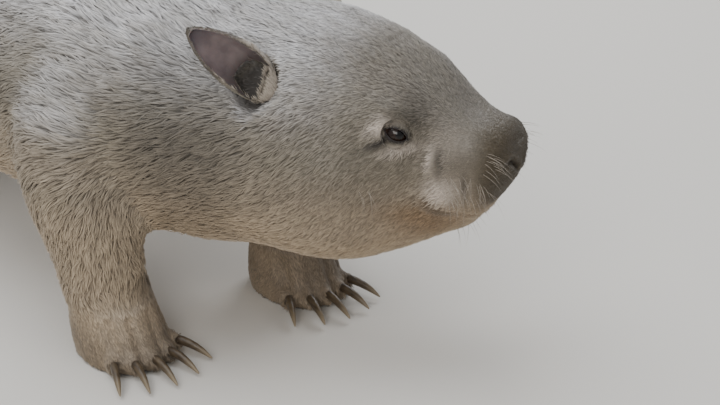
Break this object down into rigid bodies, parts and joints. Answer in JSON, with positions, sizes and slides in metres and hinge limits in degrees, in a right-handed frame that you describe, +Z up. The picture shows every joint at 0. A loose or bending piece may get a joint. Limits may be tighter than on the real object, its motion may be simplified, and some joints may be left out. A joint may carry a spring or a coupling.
{
  "type": "southern hairy-nosed wombat",
  "caption": "Stout, short-legged marsupial with long pointed ears, a broad head and digging claws, standing still on four feet with its head turned to its left.",
  "frame": {"origin": "on the floor, under the middle of the whole animal's box", "axes": "+Z up; the rump lies towards +Y and the nose towards -Y; the animal's left side is +X"},
  "size_m": [0.348, 0.8936, 0.3576],
  "materials": {
    "fur": "short, silky grey-brown coat, clumped and lying flat",
    "nose": "short velvety dark hair",
    "ear": "thin bare skin inside, short dark fur behind",
    "eye": "wet, glossy, very dark brown",
    "claw": "horn, dull with worn, paler tips"
  },
  "bodies": {
    "root": {"torso": "fur", "neck": "fur", "head": "fur", "nose": "nose", "eye_left": "eye", "eye_right": "eye", "ear_left": "ear", "ear_right": "ear", "tail": "fur", "foreleg_left": "fur", "claw_fore_left_1": "claw", "claw_fore_left_2": "claw", "claw_fore_left_3": "claw", "claw_fore_left_4": "claw", "claw_fore_left_5": "claw", "forefoot_left": "fur", "foreleg_right": "fur", "claw_fore_right_1": "claw", "claw_fore_right_2": "claw", "claw_fore_right_3": "claw", "claw_fore_right_4": "claw", "claw_fore_right_5": "claw", "forefoot_right": "fur", "hindleg_left": "fur", "claw_hind_left_1": "claw", "claw_hind_left_2": "claw", "claw_hind_left_3": "claw", "claw_hind_left_4": "claw", "hindfoot_left": "fur", "hindleg_right": "fur", "claw_hind_right_1": "claw", "claw_hind_right_2": "claw", "claw_hind_right_3": "claw", "claw_hind_right_4": "claw", "hindfoot_right": "fur"}
  },
  "joints": []
}
